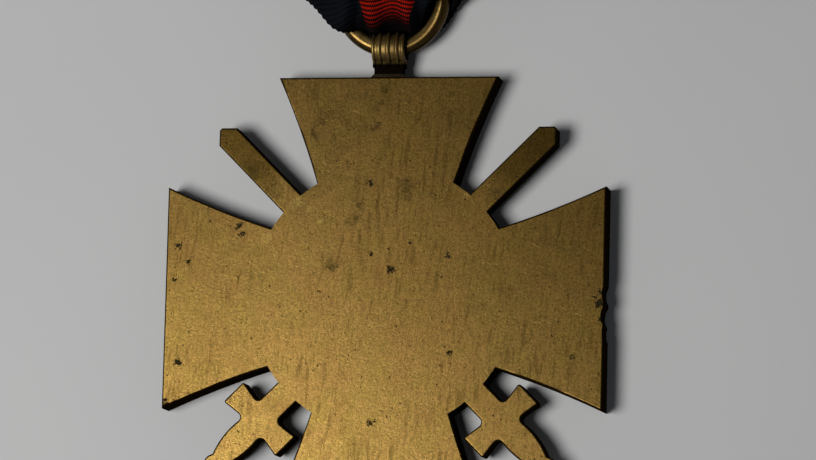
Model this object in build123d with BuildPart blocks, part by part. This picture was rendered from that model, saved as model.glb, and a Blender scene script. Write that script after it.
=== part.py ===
"""A cross-shaped medal with crossed swords, hung from a ribbon on a pin brooch.

The medal lies flat with its plain reverse face up. Millimetres, +Z up. The origin
is on the surface it lies on, below the middle of its whole outline. +Y runs from
the cross to the brooch, and +X is to the right of someone who faces the reverse.
Lengths along Y are measured from the centre of the cross, which CROSS places.
"""

import os
from math import cos, radians, sin, sqrt

from build123d import *

os.makedirs("parts", exist_ok=True)

# ---------------------------------------------------------------- driving sizes
# struck cross
arm_reach = 19.0  # centre to the end of an arm
arm_end_half = 9.53  # half width of an arm at its end
arm_root_half = 5.95  # half width of an arm where it leaves the disc
flank_hollow = 0.16  # how far an arm's sides bow inwards
disc_radius = 11.45
cross_thickness = 2.6
worn_edge = 0.16  # rounding of the reverse edge
rim_width = 0.95  # raised rim around the obverse of each arm
rim_height = 0.35
wreath_outer = 8.3  # sunk bed of the wreath on the obverse
wreath_inner = 5.6

# swords struck with the cross
sword_thickness = 1.8
blade_half = 1.08
blade_shoulder = 19.65  # centre to where the point begins
blade_blunt = 0.14  # half width of the blunted point
stub_half = 1.17  # half width of the blade between the disc and the guard
guard_centre = 14.72
guard_width = 2.45  # at its ends
guard_length = 6.6
guard_round = 0.2
guard_waist = 0.33  # how far the guard's long sides bow inwards
guard_root_round = 0.4  # hollow corners where the guard meets the blade and the grip
grip_neck_half = 1.12
grip_belly_half = 1.26
grip_end_half = 0.72
grip_length = 3.75
grip_belly = 1.15  # the widest place, from the guard
pommel_radius = 0.9
pommel_overhang = 0.52  # pommel's centre past the grip's end

# edge knocks: place along the right arm's end and depth
nick_radius = 1.5
nick_places = ((0.4, 0.22), (-1.5, 0.3), (-2.9, 0.16))

# strap eyelet on the top edge
eyelet_offset = -0.1  # soldered a little left of the axis
strap_width = 2.8
strap_thickness = 0.3
bore_radius = 1.0
bore_height = 2.65  # bore axis above the arm's end
rib_radius = 0.19
rib_pitch = 0.76
leg_rib_radius = 0.15
edge_bead_radius = 0.13
neck_thickness = 1.0
foot_width = 2.5
foot_height = 0.95
table_gap = 0.03  # the eyelet stays just clear of the table
solder_spread = 0.3  # seam past the foot at the cross
solder_tail = 0.05  # and at its thin end
solder_corner = 0.1
solder_height = 0.35

# suspension ring
ring_radius = 4.45  # centre line
wire_radius = 0.65
ring_slack = 0.1  # ring wire below the axis of the eyelet's bore
ring_rise = 6.5  # degrees the ring leans up over the ribbon beneath it
ring_joint_gap = 0.8  # degrees left open where the wire's ends meet
ring_joint_place = 62.0  # degrees from +X

# ribbon
ribbon_width = 30.0
ribbon_clear = 0.3  # from the ring wire
ribbon_drop = 41.0  # from its bend above the ring to its top fold
ribbon_thickness = 1.5  # two layers
gather_over = 1.2  # pleats over the ring
gather_behind = 1.2  # pleats around the far side of the ring's top
gather_end_height = 2.2  # where the pleats open into the flat ribbon
gather_half = 3.3  # half width of the pleats inside the ring
gather_clear = 0.36  # between the eyelet and the pleats inside the ring
bend_gap = 0.35

# brooch
bar_margin = 0.6  # the bar ends this far inside the ribbon's edges
bar_height = 9.0
bar_thickness = 0.8
bar_corner = 1.2
bar_edge = 0.15
bar_below_fold = 1.0
sewing_hole_radius = 0.45
sewing_hole_pitch = 3.4
sewing_holes = 8
sewing_row_inset = 1.1
thread_radius = 0.2
pin_radius = 0.45
pin_height = 1.9  # pin axis above the bar
pin_hinge_inset = 4.0  # hinge axis from the bar's left end
pin_past_catch = 1.2
shaft_before_catch = 0.3  # the point's taper begins this far before the catch
pin_point_radius = 0.08
eye_radius = 1.15
eye_width = 1.3
eye_side_gap = 0.1
rivet_radius = 0.5
rivet_fit = 0.05  # running clearance in the pin's eye
rivet_seat = 0.02  # in the bracket's ears
rivet_head_radius = 0.85
rivet_head_height = 0.35
rivet_head_round = 0.2
sheet = 0.5  # brass sheet of the pin's bracket and catch
bracket_length = 4.4
ear_radius = 1.05
catch_inset = 3.6  # catch centre from the bar's right end
catch_length = 2.4
catch_side_gap = 0.22
catch_lip_gap = 0.1
catch_lip = 0.35
catch_rise = 0.9  # top of the catch above the pin's axis
catch_tab_width = 4.6

# ---------------------------------------------------------------- derived sizes
ring_axis_y = arm_reach + bore_height - ring_slack
eyelet_outer = bore_radius + strap_thickness + rib_radius
eyelet_axis_z = eyelet_outer + table_gap
ring_top_y = ring_axis_y + 2 * ring_radius * cos(radians(ring_rise))
ring_top_z = eyelet_axis_z + 2 * ring_radius * sin(radians(ring_rise))
gather_floor = arm_reach + bore_height + eyelet_outer + gather_clear

ribbon_half_thickness = ribbon_thickness / 2
gather_top_y = ring_top_y + wire_radius + ribbon_clear + gather_behind
bend_y = gather_top_y + bend_gap + ribbon_half_thickness
ribbon_top_y = bend_y + ribbon_drop

bar_length = ribbon_width - 2 * bar_margin
bar_top_z = ribbon_thickness + bar_thickness
bar_y = ribbon_top_y - bar_below_fold - bar_height / 2
pin_z = bar_top_z + pin_height
hinge_x = -bar_length / 2 + pin_hinge_inset
catch_x = bar_length / 2 - catch_inset
pin_tip_x = catch_x + catch_length / 2 + pin_past_catch
shaft_end_x = catch_x - catch_length / 2 - shaft_before_catch

# the outline's middle along Y is the origin
CROSS = Plane(origin=(0, (arm_reach - ribbon_top_y) / 2, 0))


def side_plane(x):
    """A plane square to X, whose own axes are +Y and +Z."""
    return Plane(origin=CROSS.from_local_coords((x, 0, 0)), x_dir=(0, 1, 0), z_dir=(1, 0, 0))


def front_plane(y):
    """A plane square to Y, whose own axes are +X and +Z."""
    return Plane(origin=CROSS.from_local_coords((0, y, 0)), x_dir=(1, 0, 0), z_dir=(0, -1, 0))


# ---------------------------------------------------------------- struck cross
arm_root = sqrt(disc_radius**2 - arm_root_half**2)

with BuildSketch() as arm_outline:
    with BuildLine():
        flank = SagittaArc((arm_root_half, arm_root), (arm_end_half, arm_reach), flank_hollow)
        Polyline(flank @ 1, (0, arm_reach), (0, 0), flank @ 0)
    make_face()
    mirror(about=Plane.YZ)

with BuildSketch() as blade_outline:
    point = blade_shoulder + blade_half - blade_blunt
    with BuildLine():
        Polyline(
            (0, 0),
            (0, blade_half),
            (blade_shoulder, blade_half),
            (point, blade_blunt),
            (point, 0),
            close=True,
        )
    make_face()
    mirror(about=Plane.XZ)

with BuildSketch() as hilt_outline:
    guard_outer = guard_centre + guard_width / 2
    grip_end = guard_outer + grip_length
    # blade root and guard
    with Locations((guard_centre / 2, 0)):
        Rectangle(guard_centre, 2 * stub_half)
    with BuildLine():
        inner = SagittaArc(
            (guard_centre - guard_width / 2, -guard_length / 2),
            (guard_centre - guard_width / 2, guard_length / 2),
            -guard_waist,
        )
        outer = SagittaArc((guard_outer, guard_length / 2), (guard_outer, -guard_length / 2), -guard_waist)
        Line(inner @ 1, outer @ 0)
        Line(outer @ 1, inner @ 0)
    make_face()
    guard_corners = hilt_outline.vertices().filter_by(lambda v: abs(v.Y) > guard_length / 2 - guard_round)
    fillet(guard_corners, guard_round)
    # barrel-shaped grip and round pommel
    with BuildLine():
        side = Spline(
            (guard_outer - guard_waist, grip_neck_half),
            (guard_outer + grip_belly, grip_belly_half),
            (grip_end, grip_end_half),
        )
        Polyline(side @ 1, (grip_end, 0), (guard_outer - guard_waist, 0), side @ 0)
    make_face()
    with BuildLine():
        other = Spline(
            (guard_outer - guard_waist, -grip_neck_half),
            (guard_outer + grip_belly, -grip_belly_half),
            (grip_end, -grip_end_half),
        )
        Polyline(other @ 1, (grip_end, 0), (guard_outer - guard_waist, 0), other @ 0)
    make_face()
    with Locations((grip_end + pommel_overhang, 0)):
        Circle(pommel_radius)
    # hollow corners beside the guard
    guard_roots = hilt_outline.vertices().filter_by(
        lambda v: abs(v.X - guard_centre) < guard_width / 2 and 0 < abs(v.Y) < grip_belly_half
    )
    fillet(guard_roots, guard_root_round)


def on_disc(edge):
    """True for an edge that follows the disc between an arm and a sword."""
    return edge.geom_type == GeomType.CIRCLE and abs(edge.radius - disc_radius) < worn_edge


with BuildPart() as cross:
    # upper layer, as thick as the swords, with its reverse edges worn round
    with BuildSketch(CROSS.offset(cross_thickness - sword_thickness)):
        Circle(disc_radius)
        for quarter in range(4):
            add(arm_outline.sketch, rotation=90 * quarter)
        for blade_angle in (45, 135):
            add(blade_outline.sketch, rotation=blade_angle)
        for hilt_angle in (-45, -135):
            add(hilt_outline.sketch, rotation=hilt_angle)
    extrude(amount=sword_thickness)
    reverse_edges = cross.edges().group_by(Axis.Z)[-1]
    fillet(reverse_edges.filter_by(on_disc, reverse=True), worn_edge)
    # the arms and the disc are thicker than the swords
    with BuildSketch(CROSS):
        Circle(disc_radius)
        for quarter in range(4):
            add(arm_outline.sketch, rotation=90 * quarter)
    extrude(amount=cross_thickness - sword_thickness)
    # knocks on the end of the right arm
    with BuildSketch(CROSS):
        for place, depth in nick_places:
            with Locations((arm_reach + nick_radius - depth, place)):
                Circle(nick_radius)
    extrude(amount=cross_thickness, mode=Mode.SUBTRACT)
    # sunk fields of the obverse, inside a raised rim, and the bed of the wreath
    with BuildSketch(CROSS):
        for quarter in range(4):
            add(arm_outline.sketch, rotation=90 * quarter)
        offset(amount=-rim_width, kind=Kind.INTERSECTION)
        Circle(wreath_outer + rim_width, mode=Mode.SUBTRACT)
        Circle(wreath_outer)
        Circle(wreath_inner, mode=Mode.SUBTRACT)
    extrude(amount=rim_height, mode=Mode.SUBTRACT)

# ---------------------------------------------------------------- strap eyelet
strap_outer = bore_radius + strap_thickness
bore_y = arm_reach + bore_height
rib_foot_y = arm_reach + foot_height
EYELET = side_plane(eyelet_offset)
ribs = [(-rib_pitch, rib_radius), (0, rib_radius), (rib_pitch, rib_radius)]
ribs += [(side * (strap_width / 2 - edge_bead_radius), edge_bead_radius) for side in (-1, 1)]

with BuildPart() as eyelet:
    # rolled strap and its two legs
    with BuildSketch(EYELET):
        with Locations((bore_y, eyelet_axis_z)):
            Circle(strap_outer)
        with Locations(((rib_foot_y + bore_y) / 2, eyelet_axis_z)):
            Rectangle(bore_y - rib_foot_y, neck_thickness)
    extrude(amount=strap_width / 2, both=True)
    # plain foot
    with BuildSketch(EYELET):
        with Locations((arm_reach + foot_height / 2, eyelet_axis_z)):
            Rectangle(foot_height, neck_thickness)
    extrude(amount=foot_width / 2, both=True)
    # half-round ribs around the loop and down both legs
    for x, radius in ribs:
        rib_origin = CROSS.from_local_coords((eyelet_offset + x, bore_y, eyelet_axis_z))
        with Locations(Location(rib_origin)):
            Torus(strap_outer, radius, rotation=(0, 90, 0))
        for face_z in (eyelet_axis_z - neck_thickness / 2, eyelet_axis_z + neck_thickness / 2):
            with BuildSketch(front_plane(bore_y)):
                with Locations((eyelet_offset + x, face_z)):
                    Circle(min(radius, leg_rib_radius))
            extrude(amount=bore_y - rib_foot_y)
    with BuildSketch(EYELET):
        with Locations((bore_y, eyelet_axis_z)):
            Circle(bore_radius)
    extrude(amount=strap_width, both=True, mode=Mode.SUBTRACT)

# ---------------------------------------------------------------- solder seam
with BuildPart() as eyelet_solder:
    for height, spread in ((0, solder_spread), (solder_height, solder_tail)):
        with BuildSketch(front_plane(arm_reach + height)):
            with Locations((eyelet_offset, eyelet_axis_z)):
                RectangleRounded(foot_width + 2 * spread, neck_thickness + 2 * spread, solder_corner)
    loft()
    with BuildSketch(EYELET):
        with Locations((arm_reach + foot_height / 2, eyelet_axis_z)):
            Rectangle(foot_height, neck_thickness)
    extrude(amount=foot_width / 2, both=True, mode=Mode.SUBTRACT)

# ---------------------------------------------------------------- ring
ring_centre_y = (ring_axis_y + ring_top_y) / 2
ring_centre = CROSS.from_local_coords((0, ring_centre_y, (eyelet_axis_z + ring_top_z) / 2))
lean = radians(ring_rise)
RING = Plane(origin=ring_centre, x_dir=(1, 0, 0), z_dir=(0, -sin(lean), cos(lean)))
joint_angle = radians(ring_joint_place)
joint_dir = RING.x_dir * cos(joint_angle) + RING.y_dir * sin(joint_angle)

with BuildPart() as ring:
    with BuildSketch(Plane(origin=ring_centre, x_dir=joint_dir, z_dir=joint_dir.cross(RING.z_dir))):
        with Locations((ring_radius, 0)):
            Circle(wire_radius)
    revolve(axis=Axis(RING.origin, RING.z_dir), revolution_arc=360 - ring_joint_gap)

# ---------------------------------------------------------------- ribbon
# pleats drawn through the ring, fanning out over, under and behind it
behind_ring_y = ring_top_y + wire_radius + ribbon_clear
over_ring = wire_radius + ribbon_clear + gather_over
floor_top_z = ring_centre.Z + (gather_floor - ring_centre_y) * sin(lean) + over_ring
ring_clearance = wire_radius + ribbon_clear

with BuildPart() as ribbon_gather:
    with BuildSketch(CROSS):
        with BuildLine():
            Polyline(
                (-gather_half, gather_floor),
                (gather_half, gather_floor),
                (ribbon_width / 2, behind_ring_y),
                (ribbon_width / 2, gather_top_y),
                (-ribbon_width / 2, gather_top_y),
                (-ribbon_width / 2, behind_ring_y),
                close=True,
            )
        make_face()
    extrude(amount=ring_top_z + over_ring)
    # the pleats rise with the ring and come down to the flat ribbon behind it
    with BuildSketch(side_plane(0)):
        with BuildLine():
            Polyline(
                (gather_floor, 0),
                (gather_top_y, 0),
                (gather_top_y, gather_end_height),
                (ring_top_y, ring_top_z + over_ring),
                (gather_floor, floor_top_z),
                close=True,
            )
        make_face()
    extrude(amount=ribbon_width, both=True, mode=Mode.INTERSECT)
    # room for the ring
    with BuildSketch(RING.offset(-ring_clearance)):
        Circle(ring_radius + ring_clearance)
        Circle(ring_radius - ring_clearance, mode=Mode.SUBTRACT)
    extrude(amount=2 * ring_clearance, mode=Mode.SUBTRACT)

# two layers, folded at the top over the brooch bar and free to bend above the ring
with BuildPart() as ribbon:
    with BuildSketch(side_plane(0)):
        span = ribbon_top_y - bend_y - ribbon_half_thickness
        with Locations((bend_y + span / 2, ribbon_half_thickness)):
            SlotCenterToCenter(span, ribbon_thickness)
    extrude(amount=ribbon_width / 2, both=True)

# ---------------------------------------------------------------- brooch bar
sewing_row_y = bar_height / 2 - sewing_row_inset
BAR = CROSS.offset(ribbon_thickness)

with BuildPart() as brooch_bar:
    with BuildSketch(BAR):
        with Locations((0, bar_y)):
            RectangleRounded(bar_length, bar_height, bar_corner)
            with GridLocations(sewing_hole_pitch, 2 * sewing_row_y, sewing_holes, 2):
                Circle(sewing_hole_radius, mode=Mode.SUBTRACT)
    extrude(amount=bar_thickness)
    fillet(brooch_bar.edges().group_by(Axis.Z)[-1].sort_by(Edge.length)[-8:], bar_edge)

# ---------------------------------------------------------------- pin and its hinge
ear_inner = eye_width / 2 + eye_side_gap
ear_outer = ear_inner + sheet
AXIS_SIDE = front_plane(bar_y)  # square to the rivet

with BuildPart() as pin_bracket:
    with BuildSketch(CROSS.offset(bar_top_z)):
        with Locations((hinge_x, bar_y)):
            RectangleRounded(bracket_length, 2 * ear_outer, sheet / 2)
    extrude(amount=sheet)
    for side in (-1, 1):
        with BuildSketch(front_plane(bar_y + side * (ear_inner + ear_outer) / 2)):
            with Locations((hinge_x, pin_z)):
                Circle(ear_radius)
            with Locations((hinge_x, (bar_top_z + pin_z) / 2)):
                Rectangle(2 * ear_radius, pin_z - bar_top_z)
            with Locations((hinge_x, pin_z)):
                Circle(rivet_radius + rivet_seat, mode=Mode.SUBTRACT)
        extrude(amount=sheet / 2, both=True)

with BuildPart() as pin_rivet:
    with BuildSketch(AXIS_SIDE):
        with Locations((hinge_x, pin_z)):
            Circle(rivet_radius)
    extrude(amount=ear_outer, both=True)
    for side in (-1, 1):
        with BuildSketch(front_plane(bar_y + side * (ear_outer + rivet_head_height / 2))):
            with Locations((hinge_x, pin_z)):
                Circle(rivet_head_radius)
        extrude(amount=rivet_head_height / 2, both=True)
    heads = pin_rivet.edges().filter_by(GeomType.CIRCLE).group_by(Axis.Y)
    fillet(heads[0] + heads[-1], rivet_head_round)

with BuildPart() as brooch_pin:
    with BuildSketch(AXIS_SIDE):
        with BuildLine():
            Polyline(
                (hinge_x, pin_z),
                (hinge_x, pin_z + pin_radius),
                (shaft_end_x, pin_z + pin_radius),
                (pin_tip_x, pin_z + pin_point_radius),
                (pin_tip_x, pin_z),
                close=True,
            )
        make_face()
    revolve(axis=Axis(CROSS.from_local_coords((hinge_x, bar_y, pin_z)), (1, 0, 0)))
    with BuildSketch(AXIS_SIDE):
        with Locations((hinge_x, pin_z)):
            Circle(eye_radius)
    extrude(amount=eye_width / 2, both=True)
    with BuildSketch(AXIS_SIDE):
        with Locations((hinge_x, pin_z)):
            Circle(rivet_radius + rivet_fit)
    extrude(amount=eye_width, both=True, mode=Mode.SUBTRACT)

# ---------------------------------------------------------------- catch
catch_inner = pin_radius + catch_side_gap
catch_outer = catch_inner + sheet
catch_top_z = pin_z + catch_rise

with BuildPart() as pin_catch:
    with BuildSketch(CROSS.offset(bar_top_z)):
        with Locations((catch_x, bar_y)):
            RectangleRounded(catch_length, catch_tab_width, sheet)
    extrude(amount=sheet)
    # upright trough, open at the top between two lips
    with BuildSketch(side_plane(catch_x)):
        with Locations((bar_y, (bar_top_z + catch_top_z) / 2)):
            Rectangle(2 * catch_outer, catch_top_z - bar_top_z)
        with Locations((bar_y, pin_z)):
            Circle(catch_inner, mode=Mode.SUBTRACT)
        with Locations((bar_y, (pin_z + catch_top_z - catch_lip) / 2)):
            Rectangle(2 * catch_inner, catch_top_z - catch_lip - pin_z, mode=Mode.SUBTRACT)
        with Locations((bar_y, catch_top_z)):
            Rectangle(2 * (pin_radius + catch_lip_gap), 2 * catch_rise, mode=Mode.SUBTRACT)
    extrude(amount=catch_length / 2, both=True)

# ---------------------------------------------------------------- sewing thread
thread_z = bar_top_z + thread_radius

with BuildPart() as sewing_thread:
    for row in (-1, 1):
        for stitch in range(sewing_holes // 2):
            first_x = (2 * stitch - (sewing_holes - 1) / 2) * sewing_hole_pitch
            row_plane = front_plane(bar_y + row * sewing_row_y)
            with BuildLine(row_plane):
                FilletPolyline(
                    (first_x, ribbon_thickness),
                    (first_x, thread_z),
                    (first_x + sewing_hole_pitch, thread_z),
                    (first_x + sewing_hole_pitch, ribbon_thickness),
                    radius=2 * thread_radius,
                )
            with BuildSketch(BAR):
                with Locations((first_x, bar_y + row * sewing_row_y)):
                    Circle(thread_radius)
            sweep()

# ---------------------------------------------------------------- export
pieces = {
    "cross": cross,
    "eyelet": eyelet,
    "eyelet_solder": eyelet_solder,
    "ring": ring,
    "ribbon_gather": ribbon_gather,
    "ribbon": ribbon,
    "brooch_bar": brooch_bar,
    "pin_bracket": pin_bracket,
    "pin_rivet": pin_rivet,
    "brooch_pin": brooch_pin,
    "pin_catch": pin_catch,
    "sewing_thread": sewing_thread,
}
for name, piece in pieces.items():
    piece.part.label = name
    export_step(piece.part, f"parts/{name}.step")
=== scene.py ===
"""Looks of a struck bronze cross medal that lies reverse up and hangs from a gathered ribbon.

The CAD model keeps every metal piece. This script gives them their finishes, weaves the
ribbon in place of its two plain CAD solids and raises a wreath from the obverse's sunk bed.
Named lengths and places are millimetres beside the centre of the cross, unless they are
times MM; Blender works in metres.
"""

import math

import bmesh
import bpy
import numpy as np
from mathutils import Matrix, Vector


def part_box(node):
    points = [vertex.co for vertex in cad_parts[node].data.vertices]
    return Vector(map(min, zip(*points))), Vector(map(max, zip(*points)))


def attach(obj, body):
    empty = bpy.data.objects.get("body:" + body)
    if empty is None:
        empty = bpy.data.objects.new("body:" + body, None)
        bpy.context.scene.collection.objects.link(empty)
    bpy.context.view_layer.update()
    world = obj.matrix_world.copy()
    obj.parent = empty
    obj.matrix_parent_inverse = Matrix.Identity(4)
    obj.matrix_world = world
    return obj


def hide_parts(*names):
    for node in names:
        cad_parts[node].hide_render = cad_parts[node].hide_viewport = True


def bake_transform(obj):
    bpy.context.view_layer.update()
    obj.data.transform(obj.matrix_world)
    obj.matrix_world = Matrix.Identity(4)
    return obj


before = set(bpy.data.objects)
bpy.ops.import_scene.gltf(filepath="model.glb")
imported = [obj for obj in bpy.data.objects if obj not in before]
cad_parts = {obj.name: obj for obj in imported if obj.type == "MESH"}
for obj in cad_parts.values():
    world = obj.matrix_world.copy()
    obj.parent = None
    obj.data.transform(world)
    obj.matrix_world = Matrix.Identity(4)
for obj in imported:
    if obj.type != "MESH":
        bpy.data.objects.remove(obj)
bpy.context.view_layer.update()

# ---------------------------------------------------------------- places taken from the CAD
MM = 0.001

cross_low, cross_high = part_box("cross")
CENTRE = Vector(((cross_low.x + cross_high.x) / 2, (cross_low.y + cross_high.y) / 2, 0))
REVERSE_Z = cross_high.z

ring_low, ring_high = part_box("ring")
RING_MIDDLE = (ring_low + ring_high) / 2
RING_RADIUS = 4.45  # to the middle of the wire
WIRE_RADIUS = 0.65
RING_LEAN = math.radians(6.5)  # the ring rises towards the ribbon

EYELET_AXIS = (21.65, 1.52)  # y and z of the eyelet's bore
EYELET_RADIUS = 1.49
EYELET_X = (-1.75, 1.55)


def place(x, y, z):
    """A point in the row frame, in metres, from millimetres beside the centre of the cross."""
    return CENTRE + Vector((x, y, z)) * MM


# ---------------------------------------------------------------- camera
CAMERA_DISTANCE = 400 * MM
CAMERA_TILT = math.radians(13.58)  # from the reverse face's normal
CAMERA_AZIMUTH = math.radians(-35.38)  # the way it leans, from +X towards +Y
CAMERA_ROLL = math.radians(1.46)
CAMERA_LENS = 207.74
SENSOR_WIDTH = 36
AIM = CENTRE + Vector((2.054 * MM, 5.798 * MM, REVERSE_Z))

back = Vector(
    (
        math.sin(CAMERA_TILT) * math.cos(CAMERA_AZIMUTH),
        math.sin(CAMERA_TILT) * math.sin(CAMERA_AZIMUTH),
        math.cos(CAMERA_TILT),
    )
)
right = Vector((0, 1, 0)).cross(back).normalized()
up = back.cross(right)
rolled_right = right * math.cos(CAMERA_ROLL) + up * math.sin(CAMERA_ROLL)
rolled_up = up * math.cos(CAMERA_ROLL) - right * math.sin(CAMERA_ROLL)

camera_data = bpy.data.cameras.new("camera")
camera_data.lens = CAMERA_LENS
camera_data.sensor_width = SENSOR_WIDTH
camera_data.clip_start = 0.01
camera_data.clip_end = 10
camera = bpy.data.objects.new("camera", camera_data)
bpy.context.scene.collection.objects.link(camera)
turned_to_view = Matrix((rolled_right, rolled_up, back)).transposed().to_4x4()
camera.matrix_world = Matrix.Translation(AIM + back * CAMERA_DISTANCE) @ turned_to_view
bpy.context.scene.camera = camera

# ---------------------------------------------------------------- light
KEY_PLACE = Vector((-138, -62, 306)) * MM  # beside the point that the camera looks at
KEY_SIZE = 160 * MM
KEY_POWER = 1.22
KEY_COLOUR = (1.0, 0.985, 0.96)
CEILING_LIGHT = 0.015
WALL_LIGHT = 0.34
WALL_SPREAD = 1.3
SKY_COLOUR = (0.93, 0.96, 1.0)

bpy.context.scene.view_settings.view_transform = "Standard"

key_data = bpy.data.lights.new("key", "AREA")
key_data.shape = "DISK"
key_data.size = KEY_SIZE
key_data.energy = KEY_POWER
key_data.color = KEY_COLOUR
key = bpy.data.objects.new("key", key_data)
bpy.context.scene.collection.objects.link(key)
key.location = AIM + KEY_PLACE
key.rotation_mode = "QUATERNION"
key.rotation_quaternion = (-KEY_PLACE).to_track_quat("-Z", "Y")


# ---------------------------------------------------------------- node helpers
class Nodes:
    """A node tree with one call for each node."""

    def __init__(self, tree):
        self.tree = tree
        tree.nodes.clear()

    def add(self, kind, inputs=(), **settings):
        node = self.tree.nodes.new(kind)
        for name, value in settings.items():
            setattr(node, name, value)
        for socket, value in dict(inputs).items():
            if isinstance(value, bpy.types.NodeSocket):
                self.tree.links.new(value, node.inputs[socket])
            else:
                node.inputs[socket].default_value = value
        return node

    def math(self, operation, a, b=0.0):
        return self.add("ShaderNodeMath", {0: a, 1: b}, operation=operation).outputs[0]

    def vector(self, operation, a, b, output="Vector"):
        return self.add("ShaderNodeVectorMath", {0: a, 1: b}, operation=operation).outputs[output]

    def axis(self, vector, name):
        """One coordinate of a vector: X, Y or Z."""
        return self.add("ShaderNodeSeparateXYZ", {0: vector}).outputs[name]

    def most(self, values):
        """The largest of several values."""
        largest = values[0]
        for value in values[1:]:
            largest = self.math("MAXIMUM", largest, value)
        return largest

    def weighted(self, *terms):
        """The sum of several values, each times its weight."""
        total = None
        for value, weight in terms:
            term = value if weight == 1.0 else self.math("MULTIPLY", value, weight)
            total = term if total is None else self.math("ADD", total, term)
        return total

    def ramp(self, value, low, high, out_low=0.0, out_high=1.0):
        """value from low..high to out_low..out_high, smoothly and clamped."""
        span = {"From Min": low, "From Max": high, "To Min": out_low, "To Max": out_high}
        node = self.add("ShaderNodeMapRange", {"Value": value, **span}, interpolation_type="SMOOTHSTEP")
        return node.outputs["Result"]

    def noise(self, where, scale, detail=2.0, rough=0.5, output="Fac"):
        look = {"Scale": scale, "Detail": detail, "Roughness": rough}
        return self.add("ShaderNodeTexNoise", {"Vector": where, **look}).outputs[output]

    def streaks(self, where, angle, along, across):
        """Noise drawn out into lines that run at an angle, in degrees, in the XY plane."""
        turn = {"Vector": where, "Angle": math.radians(angle)}
        turned = self.add("ShaderNodeVectorRotate", turn, rotation_type="Z_AXIS").outputs[0]
        return self.noise(self.vector("MULTIPLY", turned, (1 / along, 1 / across, 1 / along)), 1.0)

    def mix(self, factor, a, b, blend="MIX"):
        """Colour a where the factor is 0, and colour b where it is 1."""
        node = self.add("ShaderNodeMix", {0: factor}, data_type="RGBA", blend_type=blend)
        for socket, value in ((6, a), (7, b)):
            if isinstance(value, bpy.types.NodeSocket):
                self.tree.links.new(value, node.inputs[socket])
            else:
                node.inputs[socket].default_value = (*value, 1)
        return node.outputs[2]

    def millimetres(self):
        """Where a point lies on its own piece, in millimetres."""
        where = self.add("ShaderNodeTexCoord").outputs["Object"]
        return self.vector("MULTIPLY", where, (1000, 1000, 1000))

    def bump(self, height, depth, strength=1.0):
        """The normal of fine relief, with its depth in millimetres."""
        inputs = {"Strength": strength, "Distance": depth * MM, "Height": height}
        return self.add("ShaderNodeBump", inputs).outputs[0]

    def surface(self, inputs):
        shader = self.add("ShaderNodeBsdfPrincipled", inputs)
        self.add("ShaderNodeOutputMaterial", {"Surface": shader.outputs[0]})


def new_material(name):
    material = bpy.data.materials.new(name)
    material.use_nodes = True
    return material, Nodes(material.node_tree)


def dress(node_name, material):
    """Gives a CAD node its finish."""
    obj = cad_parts[node_name]
    if not obj.material_slots:
        obj.data.materials.append(material)
    for held in obj.material_slots:
        held.material = material


def smooth_object(name, mesh, material):
    """Links a finished mesh into the scene as a smooth object."""
    mesh.polygons.foreach_set("use_smooth", [True] * len(mesh.polygons))
    mesh.materials.append(material)
    obj = bpy.data.objects.new(name, mesh)
    bpy.context.scene.collection.objects.link(obj)
    return obj


def mesh_object(name, points, quads, material):
    mesh = bpy.data.meshes.new(name)
    mesh.from_pydata([tuple(p) for p in points], [], [tuple(int(i) for i in q) for q in quads])
    mesh.update()
    return smooth_object(name, mesh, material)


# ---------------------------------------------------------------- world
world = bpy.data.worlds.new("studio")
bpy.context.scene.world = world
world.use_nodes = True
sky = Nodes(world.node_tree)
height = sky.axis(sky.add("ShaderNodeTexCoord").outputs["Generated"], "Z")
lowness = sky.math("SUBTRACT", 1.0, sky.math("ABSOLUTE", height))
glow = sky.math("MULTIPLY", sky.math("POWER", lowness, WALL_SPREAD), WALL_LIGHT)
strength = sky.math("ADD", glow, CEILING_LIGHT)
background = sky.add("ShaderNodeBackground", {"Color": (*SKY_COLOUR, 1), "Strength": strength})
sky.add("ShaderNodeOutputWorld", {"Surface": background.outputs[0]})


# ---------------------------------------------------------------- metal
# stains and knocks on the reverse: x, y and radius
STAINS = (
    (0.67, 2.37, 0.33),
    (5.94, -4.61, 0.24),
    (5.6, 3.6, 0.2),
    (-0.71, -10.68, 0.25),
    (-1.26, 9.85, 0.3),
    (-1.1, 3.74, 0.18),
    (-12.6, 6.2, 0.3),
    (-12.4, 5.5, 0.2),
    (-13.5, 7.35, 0.22),
    (-17.9, 4.5, 0.25),
    (-17.1, 3.1, 0.22),
    (-18.3, 1.6, 0.22),
    (-17.67, -5.56, 0.3),
    (18.6, -0.4, 0.42),
    (18.9, 0.5, 0.3),
    (18.8, -1.8, 0.3),
    (16.3, -5.0, 0.2),
    (-18.6, -9.3, 0.45),
)
STAIN_COLOUR = (0.008, 0.0075, 0.0045)

# soft dark smudges: x, y and radius
SMUDGES = (
    (-4.6, 16.9, 0.35),
    (-5.0, 16.4, 0.55),
    (-5.5, 15.7, 0.65),
    (-5.9, 15.0, 0.7),
    (-6.4, 14.3, 0.75),
    (-0.3, 17.6, 0.5),
    (-0.5, 16.8, 0.45),
    (-0.8, 14.6, 0.5),
    (-3.5, 11.5, 0.55),
    (-9.9, 9.3, 1.1),
    (-11.4, 11.0, 1.2),
    (-2.2, 8.0, 0.9),
    (-2.7, 6.6, 0.9),
    (1.9, 9.4, 1.2),
    (9.6, 8.7, 1.1),
    (-4.6, 2.9, 1.0),
)
SMUDGE_COLOUR = (0.024, 0.018, 0.0055)

# places rubbed bright beside the blades' roots: x, y and radius
BURNISHED = (
    (-7.6, 8.3, 0.8),
    (-6.6, 7.4, 0.45),
    (-5.6, 6.6, 0.4),
    (-10.3, 5.2, 0.9),
    (6.9, 8.9, 0.6),
)
BURNISHED_COLOUR = (0.25, 0.172, 0.046)

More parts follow.
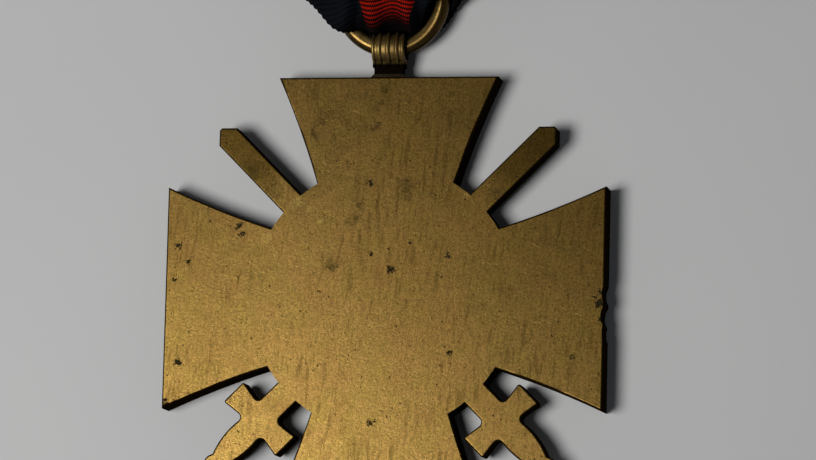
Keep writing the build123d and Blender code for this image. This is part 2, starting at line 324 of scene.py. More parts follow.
PATINA_AND_SHADE_LOW = -8.0  # the patina, with painted shade, thickens from here towards the upper right
PATINA_AND_SHADE_HIGH = 26.0
PATINA_AND_SHADE_UP = 0.57
PATINA_LEFT = 0.26  # more of it towards the left arm's end
PATINA_LEFT_START = -5.0
PATINA_LEFT_END = -17.0
PATINA_BLADES = 0.62
PATINA_AND_SHADE_COLOUR = (0.038, 0.0225, 0.003)
BLADE_START = 12.6
BLADE_HALF = 1.4
BLADE_FADE = 3.0

SMEAR_COLOUR = (0.048, 0.028, 0.0065)
PINK_TINT = (1.0, 0.90, 0.94)
OLIVE_TINT = (0.92, 0.97, 0.80)
TINT_SHARE = 0.55
FOOT_SOOT_AND_SHADE_LOW = 20.1  # the eyelet is black from the cross up to here: soot, and painted shade in the recess at its foot
FOOT_SOOT_AND_SHADE_HIGH = 20.7
SOOT_AND_SHADE_COLOUR = (0.0011, 0.0008, 0.0005)
WORN_METALLIC = 0.86  # a thin film of tarnish is on all of it
HALF_ROOT = 0.7071

# hairline scratches: angle in degrees, length and width
HAIRLINES = (
    (28, 2.6, 0.085),
    (-41, 3.4, 0.07),
    (83, 2.0, 0.08),
    (8, 4.2, 0.06),
)


def darker(colour, share):
    return tuple(share * c for c in colour)


def gap_to(n, where, x, y):
    """How far a point is from a place on the reverse."""
    return n.vector("DISTANCE", where, place(x, y, REVERSE_Z / MM) / MM, "Value")


def ragged(n, where, scale, reach):
    """The point moved a little by noise, so that a spot's outline comes out ragged."""
    shift = n.vector("SUBTRACT", n.noise(where, scale, 4.0, 0.75, "Color"), (0.5, 0.5, 0.5))
    return n.vector("ADD", n.vector("MULTIPLY", shift, (reach, reach, 0)), where)


def spots(n, where, places):
    """A soft and broken spot at each place: x, y and radius."""
    nearest = n.most([n.ramp(gap_to(n, where, x, y), r, 0.2 * r) for x, y, r in places])
    return n.math("MULTIPLY", nearest, n.ramp(n.noise(where, 1.6, 4.0, 0.7), 0.36, 0.62, 0.0, 0.75))


def medal_patina_and_shade(n, where):
    """How dark the patina is: more towards the upper right, where painted shade is added to it, and
    most on the two sword blades.
    """
    beside = n.vector("SUBTRACT", where, CENTRE / MM)
    x = n.axis(beside, "X")
    y = n.axis(beside, "Y")
    away = n.weighted((y, 0.66), (x, 0.66))
    # patina, and painted shade, darker towards the upper right
    patina_and_shade_upwards = n.ramp(away, PATINA_AND_SHADE_LOW, PATINA_AND_SHADE_HIGH, 0.0, PATINA_AND_SHADE_UP)
    left = n.ramp(x, PATINA_LEFT_START, PATINA_LEFT_END, 0.0, PATINA_LEFT)
    film = n.math("ADD", patina_and_shade_upwards, left)

    across = n.math("ABSOLUTE", x)
    off_diagonal = n.math("MULTIPLY", n.math("ABSOLUTE", n.math("SUBTRACT", across, y)), HALF_ROOT)
    along_blade = n.math("MULTIPLY", n.math("ADD", across, y), HALF_ROOT)
    blade = n.math(
        "MULTIPLY",
        n.ramp(off_diagonal, BLADE_HALF, BLADE_HALF - 0.3),
        n.ramp(along_blade, BLADE_START, BLADE_START + BLADE_FADE, 0.0, PATINA_BLADES),
    )
    bare = n.math("MULTIPLY", n.math("SUBTRACT", 1.0, film), n.math("SUBTRACT", 1.0, blade))
    return n.math("SUBTRACT", 1.0, bare)


def tinted(n, where, mottled, fine, light, dark, patina):
    """Patina in patches, and pinkish brown and olive tints that come and go."""
    colour = n.mix(n.ramp(mottled, 0.38, 0.64, 0.0, patina), light, dark)
    tint = n.weighted((n.noise(where, 0.55, 3.0, 0.6), 0.6), (fine, 0.4))
    colour = n.mix(n.ramp(tint, 0.44, 0.60, 0.0, TINT_SHARE), colour, PINK_TINT, "MULTIPLY")
    return n.mix(n.ramp(tint, 0.54, 0.40, 0.0, TINT_SHARE), colour, OLIVE_TINT, "MULTIPLY")


def reverse_marks(n, where, colour):
    """The reverse's thicker patina with painted shade towards the upper right, smudges, burnished
    places and smears.
    """
    # patina, and painted shade towards the upper right
    colour = n.mix(medal_patina_and_shade(n, where), colour, PATINA_AND_SHADE_COLOUR)
    colour = n.mix(spots(n, ragged(n, where, 1.3, 3.2), SMUDGES), colour, SMUDGE_COLOUR)
    colour = n.mix(spots(n, where, BURNISHED), colour, BURNISHED_COLOUR)
    smears = n.math(
        "MULTIPLY",
        n.ramp(n.streaks(where, 95, 2.8, 0.42), 0.50, 0.68),
        n.ramp(n.noise(where, 0.16), 0.42, 0.60, 0.0, 0.5),
    )
    return n.mix(smears, colour, SMEAR_COLOUR)


def hairlines(n, where):
    """Hairline scratches, only here and there."""
    lines = n.most([n.ramp(n.streaks(where, *line), 0.69, 0.76) for line in HAIRLINES])
    return n.math("MULTIPLY", lines, n.ramp(n.noise(where, 0.35, 1.0), 0.42, 0.62, 0.0, 0.5))


def dark_pits(n, where, stained):
    """Scattered dark pits, and where it is stained the larger stains, ragged at their edges."""
    pits = n.math(
        "MULTIPLY",
        n.ramp(n.noise(where, 2.4, 2.0, 0.6), 0.67, 0.73),
        n.ramp(n.noise(where, 0.3), 0.44, 0.6, 0.15, 1.0),
    )
    if stained:
        shifted = ragged(n, where, 3.2, 1.3)
        around = n.most([n.ramp(gap_to(n, shifted, x, y), 2.6 * r, 0.2 * r) for x, y, r in STAINS])
        crumbs = n.weighted((n.noise(where, 3.4, 2.0, 0.6), 1.0), (around, 0.16))
        pits = n.most([pits, n.ramp(around, 0.78, 0.90), n.ramp(crumbs, 0.69, 0.73)])
    return n.math("MULTIPLY", pits, 0.92)


def shade_painted_on_sides(n):
    """Painted shade: the sides and the rounded edges of the cross are painted near black and dull."""
    facing = n.axis(n.add("ShaderNodeNewGeometry").outputs["Normal"], "Z")
    return n.ramp(n.math("ABSOLUTE", facing), 0.999, 0.95, 0.0, 0.97)


def outside_of_ring(n, where):
    """The wire is dark on its outer side and keeps its bright metal on its inner side."""
    offset = n.vector("SUBTRACT", where, RING_MIDDLE / MM)
    radial = n.add("ShaderNodeVectorMath", {0: offset}, operation="LENGTH").outputs["Value"]
    return n.ramp(radial, RING_RADIUS - 0.2, RING_RADIUS + 0.15, 0.0, 0.92)


def foot_soot_and_shade(n, where):
    """The foot of the eyelet is black: soot from its soldering, and painted shade in the recess between
    its loop and the cross.
    """
    height = n.axis(n.vector("SUBTRACT", where, CENTRE / MM), "Y")
    return n.ramp(height, FOOT_SOOT_AND_SHADE_HIGH, FOOT_SOOT_AND_SHADE_LOW, 0.0, 0.99)


def metal(name, light, dark, rough, patina, grain, speckle=0.3, corner_shade_strength=0.8, corner_shade_reach=0.7, role=None):
    """Worn metal: patina in patches of two tints, fine speckle, scratches, pits, and painted shade in
    corners.

    The role adds what only the cross, the eyelet or the ring has. The grain is the depth of
    the finest relief, and the reach is how far the painted shade spreads out of a corner."""
    material, n = new_material(name)
    where = n.millimetres()
    broad = n.noise(where, 0.13, 3.0, 0.55)
    middle = n.noise(where, 0.9, 4.0, 0.6)
    fine = n.noise(where, 4.2, 2.0, 0.6)
    finest = n.noise(where, 10.5, 1.0, 0.5)
    mottled = n.weighted((broad, 0.55), (middle, 0.45))

    colour = tinted(n, where, mottled, fine, light, dark, patina)
    if role == "cross":
        colour = reverse_marks(n, where, colour)

    # speckle of fine pits and bright grains, drawn out a little along the medal
    grains = n.weighted((fine, 0.25), (finest, 0.55), (n.streaks(where, 93, 1.1, 0.12), 0.2))
    shade = n.ramp(grains, 0.38, 0.62, 1 - speckle, 1 + 0.5 * speckle)
    grey = n.add("ShaderNodeCombineColor", {0: shade, 1: shade, 2: shade}).outputs[0]
    colour = n.mix(1.0, colour, grey, "MULTIPLY")

    lines = hairlines(n, where)
    colour = n.mix(lines, colour, darker(dark, 0.35))
    pits = dark_pits(n, where, stained=role == "cross")
    colour = n.mix(pits, colour, STAIN_COLOUR)

    # painted shade: ambient occlusion darkens the corners, and the metal is duller there
    corner = n.add("ShaderNodeAmbientOcclusion", {"Distance": corner_shade_reach * MM}, samples=8).outputs["AO"]
    corner_shade = n.ramp(corner, 0.35, 0.85, corner_shade_strength, 0.0)
    polish = n.ramp(mottled, 0.3, 0.7, rough - 0.03, rough + 0.07)
    covered = [corner_shade, n.math("MULTIPLY", pits, 0.8)]
    dulled = [(polish, 1.0), (corner_shade, 0.25), (pits, 0.2)]

    if role == "cross":
        # painted shade on the sides and rounded edges of the cross
        side = shade_painted_on_sides(n)
        colour = n.mix(side, colour, darker(dark, 0.06))
        covered.append(side)
        dulled.append((side, 0.4))
    if role == "ring":
        colour = n.mix(outside_of_ring(n, where), colour, darker(dark, 0.3))
    # painted shade in corners, from ambient occlusion
    colour = n.mix(corner_shade, colour, darker(dark, 0.05))
    if role == "eyelet":
        # soot and painted shade on the eyelet's foot
        foot_soot_and_shade_mask = foot_soot_and_shade(n, where)
        colour = n.mix(foot_soot_and_shade_mask, colour, SOOT_AND_SHADE_COLOUR)
        covered.append(foot_soot_and_shade_mask)

    relief = n.weighted((fine, 1.0), (finest, 0.6), (middle, 1.4), (lines, -1.0), (pits, -1.0))
    n.surface(
        {
            "Base Color": colour,
            "Metallic": n.ramp(n.most(covered), 0.0, 1.0, WORN_METALLIC, 0.0),
            "Roughness": n.weighted(*dulled),
            "Specular IOR Level": 0.0,
            "Normal": n.bump(relief, grain),
        }
    )
    return material


bronze = metal(
    "bronze",
    (0.187, 0.117, 0.0315),
    (0.104, 0.060, 0.0155),
    rough=0.27,
    patina=0.55,
    grain=0.004,
    speckle=0.38,
    role="cross",
)
eyelet_bronze = metal(
    "eyelet_bronze",
    (0.21, 0.14, 0.045),
    (0.036, 0.023, 0.009),
    rough=0.42,
    patina=0.85,
    grain=0.006,
    corner_shade_strength=0.97,
    corner_shade_reach=1.0,
    role="eyelet",
)
ring_bronze = metal(
    "ring_bronze",
    (0.60, 0.41, 0.14),
    (0.13, 0.075, 0.022),
    rough=0.22,
    patina=0.75,
    grain=0.004,
    speckle=0.2,
    corner_shade_strength=0.9,
    corner_shade_reach=1.6,
    role="ring",
)
solder_metal = metal(
    "solder",
    (0.10, 0.075, 0.045),
    (0.03, 0.02, 0.012),
    rough=0.5,
    patina=0.8,
    grain=0.02,
)
brass = metal(
    "brass_sheet",
    (0.60, 0.42, 0.15),
    (0.33, 0.21, 0.07),
    rough=0.32,
    patina=0.45,
    grain=0.005,
)
steel = metal(
    "pin_steel",
    (0.52, 0.51, 0.49),
    (0.3, 0.28, 0.26),
    rough=0.26,
    patina=0.35,
    grain=0.004,
    speckle=0.15,
)

dress("cross", bronze)
dress("eyelet", eyelet_bronze)
dress("eyelet_solder", solder_metal)
dress("ring", ring_bronze)
for name in ("brooch_bar", "pin_bracket", "pin_rivet", "pin_catch"):
    dress(name, brass)
dress("brooch_pin", steel)


# ---------------------------------------------------------------- thread
THREAD_LIGHT = (0.03, 0.03, 0.034)
THREAD_DARK = (0.004, 0.004, 0.005)
THREAD_RELIEF = 0.03


def thread_material():
    """Twisted black cotton."""
    material, n = new_material("thread")
    fibre = n.streaks(n.millimetres(), 35, 0.9, 0.07)
    n.surface(
        {
            "Base Color": n.mix(fibre, THREAD_DARK, THREAD_LIGHT),
            "Roughness": 0.75,
            "Sheen Weight": 0.3,
            "Normal": n.bump(fibre, THREAD_RELIEF),
        }
    )
    return material


dress("sewing_thread", thread_material())

# ---------------------------------------------------------------- ribbon
RIBBON_HALF = 15.0
CLOTH_THICKNESS = 0.22
CLOTH_GAP = 0.1  # kept between the cloth and the metal
TABLE_GAP = 0.02
RIB_PITCH = 0.35
RIB_HEIGHT = 0.05
THREAD_PITCH = 0.16
RED_HALF = 2.45
WHITE_INNER = 11.6
WHITE_OUTER = 13.7
STRIPE_EDGE = 0.05

PANEL_COLUMNS = 84
FOLD_LAYERS = 4
FOLD_TURN = (45, 90, 135)  # angles of the points round each fold
FOLD_RUN = (0.0, 0.35, 0.7, 1.0)  # points along the cloth between two folds
LAYER_GAP = 0.24
OPEN_WIDTH = 12.6  # half width at which the folded sides begin to open
FOLD_RISE = 1.5  # the right side's folds stand up beside the wire by this
SPLINE_STEPS = 60
RELAX_ROUNDS = 6
RELAX_KEEP = 0.4

# each colour, then its darker copy: the painted shade between the ribs, also used for darker patches
RED = (0.36, 0.008, 0.0015)
RED_SHADED_DARK = (0.012, 0.0006, 0.0004)
BLACK = (0.0023, 0.0041, 0.007)
BLACK_SHADED_DARK = (0.0008, 0.001, 0.0016)
WHITE = (0.62, 0.60, 0.55)
WHITE_SHADED_DARK = (0.42, 0.40, 0.36)
# painted shade for the cloth's turn inside the ring and for its folded sides
LOOP_AND_TUCK_SHADE_COLOUR = (0.0016, 0.0012, 0.0014)
LOOP_SHADE_NEAR = 2.2  # painted shade darkens the cloth up to here from its turn inside the ring
LOOP_SHADE_FAR = 4.3
TUCK_SHADE_NEAR = 4.5  # and painted shade darkens the folded sides up to here
TUCK_SHADE_FAR = 7.5

# stations along the strip, from its cut end under the bar, over the top fold, down the
# front, through the ring and up the back: y, z, half widths left and right, and how far
# the left and right edges are ahead of the middle along y
STATIONS = (
    (66.6, 1.30, 15.0, 15.0, 0.0, 0.0),
    (69.0, 1.30, 15.0, 15.0, 0.0, 0.0),
    (71.5, 1.30, 15.0, 15.0, 0.0, 0.0),
    (73.6, 1.28, 15.0, 15.0, 0.0, 0.0),
    (74.75, 1.15, 15.0, 15.0, 0.0, 0.0),
    (74.75, 0.35, 15.0, 15.0, 0.0, 0.0),
    (73.6, 0.17, 15.0, 15.0, 0.0, 0.0),
    (70.0, 0.17, 15.0, 15.0, 0.0, 0.0),
    (64.0, 0.17, 15.0, 15.0, 0.0, 0.0),
    (56.0, 0.17, 15.0, 15.0, 0.0, 0.0),
    (48.0, 0.17, 15.0, 15.0, 0.0, 0.0),
    (41.0, 0.17, 15.0, 15.0, 0.0, 0.0),
    (36.5, 0.17, 15.0, 15.0, 0.0, 0.0),
    (34.2, 0.20, 15.0, 15.0, 0.0, 0.0),
    (32.6, 0.24, 14.5, 14.5, 0.0, 0.0),
    (31.2, 0.24, 13.0, 13.0, 0.0, 0.0),
    (29.4, 0.24, 10.6, 10.8, 0.0, 0.0),
    (27.4, 0.22, 7.6, 7.9, 0.0, 0.0),
    (25.7, 0.20, 5.2, 5.7, -0.2, 0.0),
    (24.3, 0.20, 3.9, 4.3, -0.9, -0.7),
    (23.2, 0.26, 3.2, 3.4, -0.3, -0.2),
    (22.8, 0.80, 2.6, 2.7, 0.0, 0.1),
    (23.4, 1.90, 2.6, 2.6, 0.0, 0.2),
    (23.4, 2.80, 3.0, 2.8, -0.5, 0.3),
    (23.8, 3.75, 3.9, 3.1, -1.1, 0.2),
    (24.8, 4.30, 5.3, 3.5, -1.2, 0.1),
    (26.2, 4.45, 6.7, 5.0, -1.0, 0.0),
    (27.9, 4.50, 8.5, 8.0, -0.8, 0.0),
    (29.6, 4.50, 10.9, 11.0, -0.4, 0.0),
    (31.2, 4.05, 13.2, 13.0, 0.0, 0.0),
    (32.5, 2.55, 14.5, 14.5, 0.0, 0.0),
    (33.6, 1.25, 15.0, 15.0, 0.0, 0.0),
    (35.6, 0.93, 15.0, 15.0, 0.0, 0.0),
    (41.0, 0.93, 15.0, 15.0, 0.0, 0.0),
    (48.0, 0.93, 15.0, 15.0, 0.0, 0.0),
    (56.0, 0.93, 15.0, 15.0, 0.0, 0.0),
    (63.0, 0.93, 15.0, 15.0, 0.0, 0.0),
    (67.0, 0.93, 15.0, 15.0, 0.0, 0.0),
    (70.0, 0.93, 15.0, 15.0, 0.0, 0.0),
    (72.0, 0.93, 15.0, 15.0, 0.0, 0.0),
)


def along_spline(stations, spacing):
    """Points of the cubic B-spline through the stations' columns, evenly spaced along y and z."""
    points = np.array(stations, float)
    ends = (2 * points[0] - points[1], 2 * points[-1] - points[-2])
    padded = np.vstack((ends[0], points, ends[1]))
    fine = []
    for i in range(len(points) - 1):
        t = np.linspace(0, 1, SPLINE_STEPS, endpoint=False)[:, None]
        p0, p1, p2, p3 = padded[i : i + 4]
        fine.append(
            (
                p0 * (1 - t) ** 3
                + p1 * (3 * t**3 - 6 * t**2 + 4)
                + p2 * (-3 * t**3 + 3 * t**2 + 3 * t + 1)
                + p3 * t**3
            )
            / 6
        )
    fine = np.vstack(fine)
    steps = np.linalg.norm(np.diff(fine[:, :2], axis=0), axis=1)
    length = np.concatenate(([0], np.cumsum(steps)))
    count = int(round(length[-1] / spacing))
    wanted = np.linspace(0, length[-1], count + 1)
    return np.stack([np.interp(wanted, length, fine[:, k]) for k in range(fine.shape[1])], 1), wanted


def smoothstep(value, low, high):
    t = np.clip((value - low) / (high - low), 0, 1)
    return t * t * (3 - 2 * t)


def side_columns(width):
    """One side of each row beyond the top panel: x, depth and place across the cloth.

    The cloth is folded to and fro under itself, and lies flat where the ribbon is wide."""
    folded = np.minimum(width, OPEN_WIDTH)
    depth_of_fold = (RIBBON_HALF - folded) / FOLD_LAYERS
    opened = smoothstep(width, OPEN_WIDTH, RIBBON_HALF)
    radius = LAYER_GAP / 2
    x, depth, across = [], [], []
    for layer in range(1, FOLD_LAYERS + 1):
        inward = layer % 2 == 1
        start = folded + (layer - 1) * depth_of_fold
        outer_x = folded - radius
        inner_x = folded - depth_of_fold + radius
        turn_x = outer_x if inward else inner_x
        sign = 1 if inward else -1
        for step, degrees in enumerate(FOLD_TURN):
            angle = math.radians(degrees)
            turn_depth = (layer - 0.5) * LAYER_GAP - radius * math.cos(angle)
            x.append(turn_x + sign * radius * math.sin(angle))
            depth.append(np.full_like(width, turn_depth))
            across.append(start + 0.04 * (step + 1) * depth_of_fold)
        begin, finish = (outer_x, inner_x) if inward else (inner_x, outer_x)
        for part in FOLD_RUN:
            x.append(begin + (finish - begin) * part)
            depth.append(np.full_like(width, layer * LAYER_GAP))
            across.append(start + (0.16 + 0.8 * part) * depth_of_fold)
    x, depth, across = (np.stack(v, 1) for v in (x, depth, across))
    scale = opened[:, None]
    return x + (across - x) * scale, depth * (1 - scale), across


rows, travelled = along_spline(STATIONS, RIB_PITCH / 2)
row_y, row_z, row_left, row_right, lead_left, lead_right = rows.T
row_left = np.minimum(row_left, RIBBON_HALF)
row_right = np.minimum(row_right, RIBBON_HALF)
narrower = np.minimum(row_left, row_right)
tangent = np.gradient(rows[:, :2], axis=0)
tangent /= np.linalg.norm(tangent, axis=1)[:, None]
outward = np.stack((-tangent[:, 1], tangent[:, 0]), 1)

# top panel, narrower than its cloth only by soft humps
part = np.linspace(-1, 1, PANEL_COLUMNS)
flat_left = np.minimum(row_left, OPEN_WIDTH)
flat_right = np.minimum(row_right, OPEN_WIDTH)
panel_x = np.where(part < 0, part * flat_left[:, None], part * flat_right[:, None])
gathered = 1 - smoothstep(narrower, 2.6, 9.0)

# the red stripe narrows towards the ring, so the cloth's place across runs ahead of x
squeeze = 0.42 * (1 - smoothstep(narrower, 2.7, 4.6))
panel_across = panel_x * (1 + squeeze[:, None] * np.exp(-((panel_x / 2.2) ** 2)) * 1.7)
wide_hump = 0.22 * np.cos(2 * np.pi * (panel_x + 1.1) / 2.6)
narrow_hump = 0.10 * np.cos(2 * np.pi * (panel_x - 0.4) / 1.7 + 0.6)
hump = wide_hump + narrow_hump
panel_depth = -hump * gathered[:, None] * np.exp(-((panel_x / 5.5) ** 4))

left_x, left_depth, left_across = side_columns(row_left)
right_x, right_depth, right_across = side_columns(row_right)
cloth_x = np.hstack((-left_x[:, ::-1], panel_x, right_x))
cloth_depth = np.hstack((left_depth[:, ::-1], panel_depth, right_depth))
cloth_across = np.hstack((-left_across[:, ::-1], panel_across, right_across))

# edges lead or trail the middle
reach = np.where(cloth_x < 0, cloth_x / row_left[:, None], cloth_x / row_right[:, None])
lead = np.where(cloth_x < 0, lead_left[:, None], lead_right[:, None]) * reach**2
above_ring = smoothstep(row_z, 2.0, 3.5)[:, None]
ripple = 0.22 * gathered[:, None] * np.sin(1.9 * cloth_x + 0.6) * above_ring
cloth_y = row_y[:, None] + lead + ripple - cloth_depth * outward[:, 0][:, None]
cloth_z = row_z[:, None] - cloth_depth * outward[:, 1][:, None]

# behind the ring the right side's folds stand up beside the wire
stands_up = smoothstep(cloth_x, 4.6, 6.2) * np.exp(-(((row_y - 26.4) / 2.0) ** 2))[:, None]
cloth_z = cloth_z + FOLD_RISE * stands_up * (row_z < 1)[:, None]
cloth = np.stack((cloth_x, cloth_y, cloth_z), 2)

RING_CENTRE = np.array((RING_MIDDLE - CENTRE) / MM)
RING_AXIS = np.array((0, -math.sin(RING_LEAN), math.cos(RING_LEAN)))
RING_CLEAR = WIRE_RADIUS + CLOTH_THICKNESS / 2 + CLOTH_GAP
EYELET_CLEAR = EYELET_RADIUS + CLOTH_THICKNESS / 2 + CLOTH_GAP
TINY = 1e-6


def clear_of_neighbours(points):
    """Pushes points out of the ring's wire, the eyelet and the table."""
    offset = points - RING_CENTRE
    above = offset @ RING_AXIS
    flat = offset - above[..., None] * RING_AXIS
    radial = np.linalg.norm(flat, axis=2)
    radial_dir = flat / np.maximum(radial, TINY)[..., None]
    out = radial - RING_RADIUS
    gap = np.hypot(out, above)
    push = np.maximum(RING_CLEAR - gap, 0)[..., None]
    from_wire = radial_dir * out[..., None] + RING_AXIS * above[..., None]
    points = points + from_wire / np.maximum(gap, TINY)[..., None] * push

    near_eyelet = (points[..., 0] > EYELET_X[0]) & (points[..., 0] < EYELET_X[1])
    from_axis = points[..., 1:] - np.array(EYELET_AXIS)
    distance = np.maximum(np.linalg.norm(from_axis, axis=2), TINY)
    push = np.where(near_eyelet, np.maximum(EYELET_CLEAR - distance, 0), 0)
    points[..., 1:] += from_axis / distance[..., None] * push[..., None]
    points[..., 2] = np.maximum(points[..., 2], CLOTH_THICKNESS / 2 + TABLE_GAP)
    return points


def smoothed(points, keep):
    """Averages each point with its neighbours in the grid, by the share 1 - keep."""
    inner = points.copy()
    inner[1:-1, 1:-1] = (
        points[:-2, 1:-1] + points[2:, 1:-1] + points[1:-1, :-2] + points[1:-1, 2:]
    ) / 4
    return points * keep + inner * (1 - keep)


in_gather = smoothstep(14.6 - narrower, 0.0, 1.0)[:, None, None]
for _ in range(RELAX_ROUNDS):
    cloth = clear_of_neighbours(cloth)
    cloth = cloth + (smoothed(cloth, RELAX_KEEP) - cloth) * in_gather
cloth = clear_of_neighbours(cloth)

# weft ribs: every second row stands out on both faces
across_dir = np.gradient(cloth, axis=1)
along_dir = np.gradient(cloth, axis=0)
normal = np.cross(along_dir, across_dir)
normal /= np.maximum(np.linalg.norm(normal, axis=2), TINY)[..., None]
rib = np.where(np.arange(len(cloth)) % 2 == 0, RIB_HEIGHT, -RIB_HEIGHT)
cloth = cloth + normal * rib[:, None, None]
STRIP_LENGTH = float(travelled[-1])
LOOP_PLACE = float(travelled[np.argmin(row_y)])  # where the strip turns inside the ring

row_count, column_count = cloth.shape[:2]
vertices = (cloth * MM + np.array(CENTRE)).reshape(-1, 3)
index = np.arange(row_count * column_count).reshape(row_count, column_count)
faces = np.stack((index[:-1, :-1], index[:-1, 1:], index[1:, 1:], index[1:, :-1]), 2).reshape(-1, 4)


def ribbon_material():
    """Silk grosgrain: red centre, black, white and black stripes, and warp threads over the ribs, with
    painted shade between the ribs.
    """
    material, n = new_material("ribbon_cloth")
    placed = n.add("ShaderNodeUVMap", uv_map="cloth").outputs[0]
    across = n.math("MULTIPLY", n.math("SUBTRACT", n.axis(placed, "X"), 0.5), 2 * RIBBON_HALF)
    along = n.math("MULTIPLY", n.axis(placed, "Y"), STRIP_LENGTH)

    # stripes, with edges that wander by a thread
    wander = n.math("MULTIPLY", n.math("SUBTRACT", n.noise(placed, 260.0), 0.5), 0.12)
    from_middle = n.math("ADD", n.math("ABSOLUTE", across), wander)
    red = n.ramp(from_middle, RED_HALF + STRIPE_EDGE, RED_HALF - STRIPE_EDGE)
    white = n.math(
        "MULTIPLY",
        n.ramp(from_middle, WHITE_INNER - STRIPE_EDGE, WHITE_INNER + STRIPE_EDGE),
        n.ramp(from_middle, WHITE_OUTER + STRIPE_EDGE, WHITE_OUTER - STRIPE_EDGE),
    )
    lit = n.mix(white, n.mix(red, BLACK, RED), WHITE)
    shaded_dark = n.mix(white, n.mix(red, BLACK_SHADED_DARK, RED_SHADED_DARK), WHITE_SHADED_DARK)

    # painted shade in the valleys between the weft ribs and the warp threads, and painted light on
    # their crests; it shows most on the red
    threads = n.math("SINE", n.math("MULTIPLY", across, 2 * math.pi / THREAD_PITCH))
    weft = n.math("SINE", n.math("MULTIPLY", along, 2 * math.pi / RIB_PITCH))
    weave = n.math("MULTIPLY", threads, n.ramp(weft, -1.0, 1.0, 0.2, 1.0))
    weave = n.math("MULTIPLY", weave, n.ramp(red, 0.0, 1.0, 0.35, 1.0))
    colour = n.mix(n.ramp(n.weighted((weave, 1.0), (weft, 0.8)), -0.5, 1.1), shaded_dark, lit)
    colour = n.mix(n.ramp(n.noise(placed, 90.0, 4.0), 0.45, 0.75, 0.0, 0.25), colour, shaded_dark)

    # painted shade where it turns inside the ring and where its sides fold under
    from_loop = n.math("ABSOLUTE", n.math("SUBTRACT", along, LOOP_PLACE))
    loop_shade = n.ramp(from_loop, LOOP_SHADE_FAR, LOOP_SHADE_NEAR, 0.0, 0.95)
    tuck_shade = n.math(
        "MULTIPLY",
        n.ramp(from_middle, WHITE_INNER - 1.5, WHITE_INNER - 0.5),
        n.ramp(from_loop, TUCK_SHADE_FAR, TUCK_SHADE_NEAR, 0.0, 0.95),
    )
    n.surface(
        {
            "Base Color": n.mix(n.most([loop_shade, tuck_shade]), colour, LOOP_AND_TUCK_SHADE_COLOUR),
            "Roughness": 0.62,
            "Specular IOR Level": 0.025,
            "Sheen Weight": 0.005,
            "Sheen Roughness": 0.4,
            "Normal": n.bump(weave, 0.025, 0.9),
        }
    )
    return material


cloth_piece = mesh_object("ribbon_cloth", vertices, faces, ribbon_material())
uv_layer = cloth_piece.data.uv_layers.new(name="cloth")
uv_of_point = np.stack(
    (
        (cloth_across / (2 * RIBBON_HALF) + 0.5).reshape(-1),
        np.repeat(travelled / STRIP_LENGTH, column_count),
    ),
    1,
)
uv_layer.data.foreach_set("uv", uv_of_point[faces.reshape(-1)].reshape(-1))
thicken = cloth_piece.modifiers.new("thickness", "SOLIDIFY")
thicken.thickness = CLOTH_THICKNESS * MM
thicken.offset = 0

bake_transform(cloth_piece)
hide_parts("ribbon_gather", "ribbon")

# ---------------------------------------------------------------- wreath on the obverse
BED_Z = 0.35  # the sunk bed faces the table
BED_RADIUS = 6.95  # middle of the bed
SUNK = 0.03  # what each part of the wreath has inside the bronze
BOTTOM = -math.pi / 2
LEAF_PAIRS = 13
LEAF_STEP = math.radians(11.8)
BRANCH_START = math.radians(14)  # from the tie at the bottom
LEAF_LENGTH = 1.9
LEAF_WIDTH = 0.86
LEAF_RISE = 0.29
LEAF_SECTIONS = 10
LEAF_PROFILE = ((-1, 0), (-0.97, 0.35), (-0.5, 0.62), (0, 1), (0.5, 0.62), (0.97, 0.35), (1, 0))
SPLAY = math.radians(30)
SPLAY_OFFSET = 0.34
BERRY_OFFSET = 1.12
BERRY_RADIUS = 0.17
BERRY_SIDES = 12
BERRY_RINGS = 5
STEM_RADIUS = 0.13
STEM_SIDES = 8
STEM_SECTIONS = 32
TIE_LENGTH = 2.2
TIE_WIDTH = 0.6
TIE_TURN = 0.1
TIE_OFFSET = 1.1


def wreath_point(radius, angle):
    return Vector((radius * math.cos(angle), radius * math.sin(angle)))


class Relief:
    """Closed raised shapes on the bed, gathered into one mesh."""

    def __init__(self):
        self.mesh = bmesh.new()

    def hull(self, rings):
        """Skins closed rings of points and caps both ends."""
        skin = [[self.mesh.verts.new(place(*point)) for point in ring] for ring in rings]
        for first, second in zip(skin, skin[1:]):
            for i, corner in enumerate(first):
                j = (i + 1) % len(first)
                self.mesh.faces.new((corner, first[j], second[j], second[i]))
        self.mesh.faces.new(skin[0])
        self.mesh.faces.new(skin[-1])

    def leaf(self, base, angle, length, width, rise, blunt=1.0):
        """A leaf with a raised midrib, or with a high blunt a plain pad."""
        along = wreath_point(1, angle)
        beside = wreath_point(1, angle + math.pi / 2)
        rings = []
        for step in range(LEAF_SECTIONS + 1):
            t = 0.02 + 0.96 * step / LEAF_SECTIONS
            swell = math.sin(math.pi * t) ** (0.8 / blunt)
            middle = base + along * (t * length)
            ring = []
            for side, height in LEAF_PROFILE:
                x, y = middle + beside * (side * swell * width / 2)
                ring.append((x, y, BED_Z + SUNK - height * (rise * swell**0.6 + SUNK)))
            rings.append(ring)
        self.hull(rings)

    def berry(self, middle, radius):
        """A dome, in rings from its top down into the bed."""
        rings = []
        for step in range(BERRY_RINGS):
            tilt = math.radians(4 + 21.5 * step)
            ring = []
            for turn in range(BERRY_SIDES):
                out = wreath_point(radius * math.sin(tilt), turn * 2 * math.pi / BERRY_SIDES)
                ring.append((*(middle + out), BED_Z + SUNK - radius * math.cos(tilt)))
            rings.append(ring)
        self.hull(rings)

    def stem(self, start, end, radius):
        """A round stem along the middle of the bed."""
        rings = []
        for step in range(STEM_SECTIONS + 1):
            angle = start + (end - start) * step / STEM_SECTIONS
            ring = []
            for side in range(STEM_SIDES):
                turn = side * 2 * math.pi / STEM_SIDES
                middle = wreath_point(BED_RADIUS + radius * math.cos(turn), angle)
                ring.append((*middle, BED_Z - 0.4 * radius - radius * math.sin(turn)))
            rings.append(ring)
        self.hull(rings)


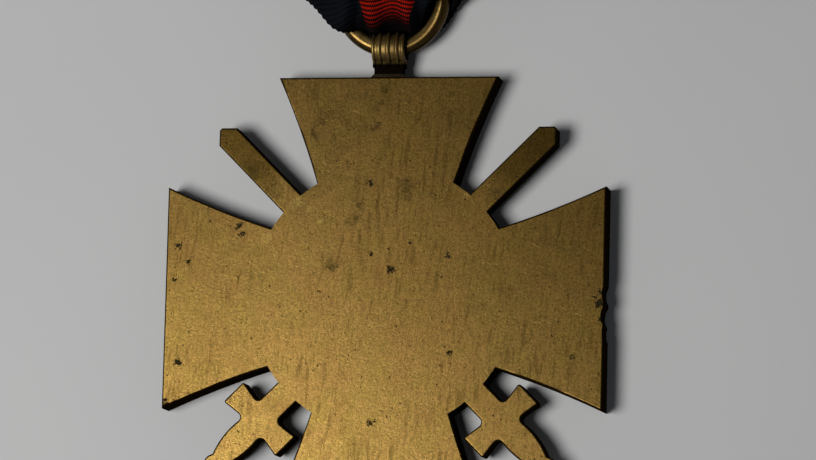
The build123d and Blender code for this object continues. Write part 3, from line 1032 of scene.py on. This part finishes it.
relief = Relief()
for branch in (-1, 1):
    relief.stem(BOTTOM, BOTTOM + branch * (BRANCH_START + LEAF_PAIRS * LEAF_STEP), STEM_RADIUS)
    for pair in range(LEAF_PAIRS):
        angle = BOTTOM + branch * (BRANCH_START + pair * LEAF_STEP)
        growth = angle + branch * math.pi / 2
        for side in (-1, 1):
            base = wreath_point(BED_RADIUS + side * SPLAY_OFFSET, angle - branch * 0.05)
            turn = growth - branch * side * SPLAY
            relief.leaf(base, turn, LEAF_LENGTH, LEAF_WIDTH, 0.8 * LEAF_RISE)
            if pair % 2 == 1:
                berry_place = wreath_point(BED_RADIUS + side * BERRY_OFFSET, angle + branch * 0.02)
                relief.berry(berry_place, BERRY_RADIUS)
        base = wreath_point(BED_RADIUS, angle + branch * LEAF_STEP / 2)
        turn = growth + branch * LEAF_STEP
        relief.leaf(base, turn, 0.95 * LEAF_LENGTH, 0.8 * LEAF_WIDTH, LEAF_RISE)
for turn in (-TIE_TURN, 0, TIE_TURN):
    base = wreath_point(BED_RADIUS - TIE_OFFSET, BOTTOM + turn)
    relief.leaf(base, BOTTOM + turn, TIE_LENGTH, TIE_WIDTH, LEAF_RISE, blunt=6.0)
bmesh.ops.recalc_face_normals(relief.mesh, faces=relief.mesh.faces)
wreath_mesh = bpy.data.meshes.new("wreath")
relief.mesh.to_mesh(wreath_mesh)
relief.mesh.free()
wreath = smooth_object("wreath", wreath_mesh, bronze)
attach(wreath, "medal")

# ---------------------------------------------------------------- floor
FLOOR_HALF = 3.0
FLOOR_DROP = 0.02 * MM
FLOOR_PALE = (0.42, 0.424, 0.429)
FLOOR_DULL = (0.405, 0.411, 0.419)

floor_material, floor_nodes = new_material("floor")
tone = floor_nodes.ramp(floor_nodes.noise(floor_nodes.millimetres(), 0.02), 0.3, 0.7)
floor_nodes.surface(
    {
        "Base Color": floor_nodes.mix(tone, FLOOR_DULL, FLOOR_PALE),
        "Roughness": 0.95,
        "Specular IOR Level": 0.1,
    }
)
floor = mesh_object(
    "floor",
    [(x * FLOOR_HALF, y * FLOOR_HALF, -FLOOR_DROP) for x, y in ((-1, -1), (1, -1), (1, 1), (-1, 1))],
    [(0, 1, 2, 3)],
    floor_material,
)
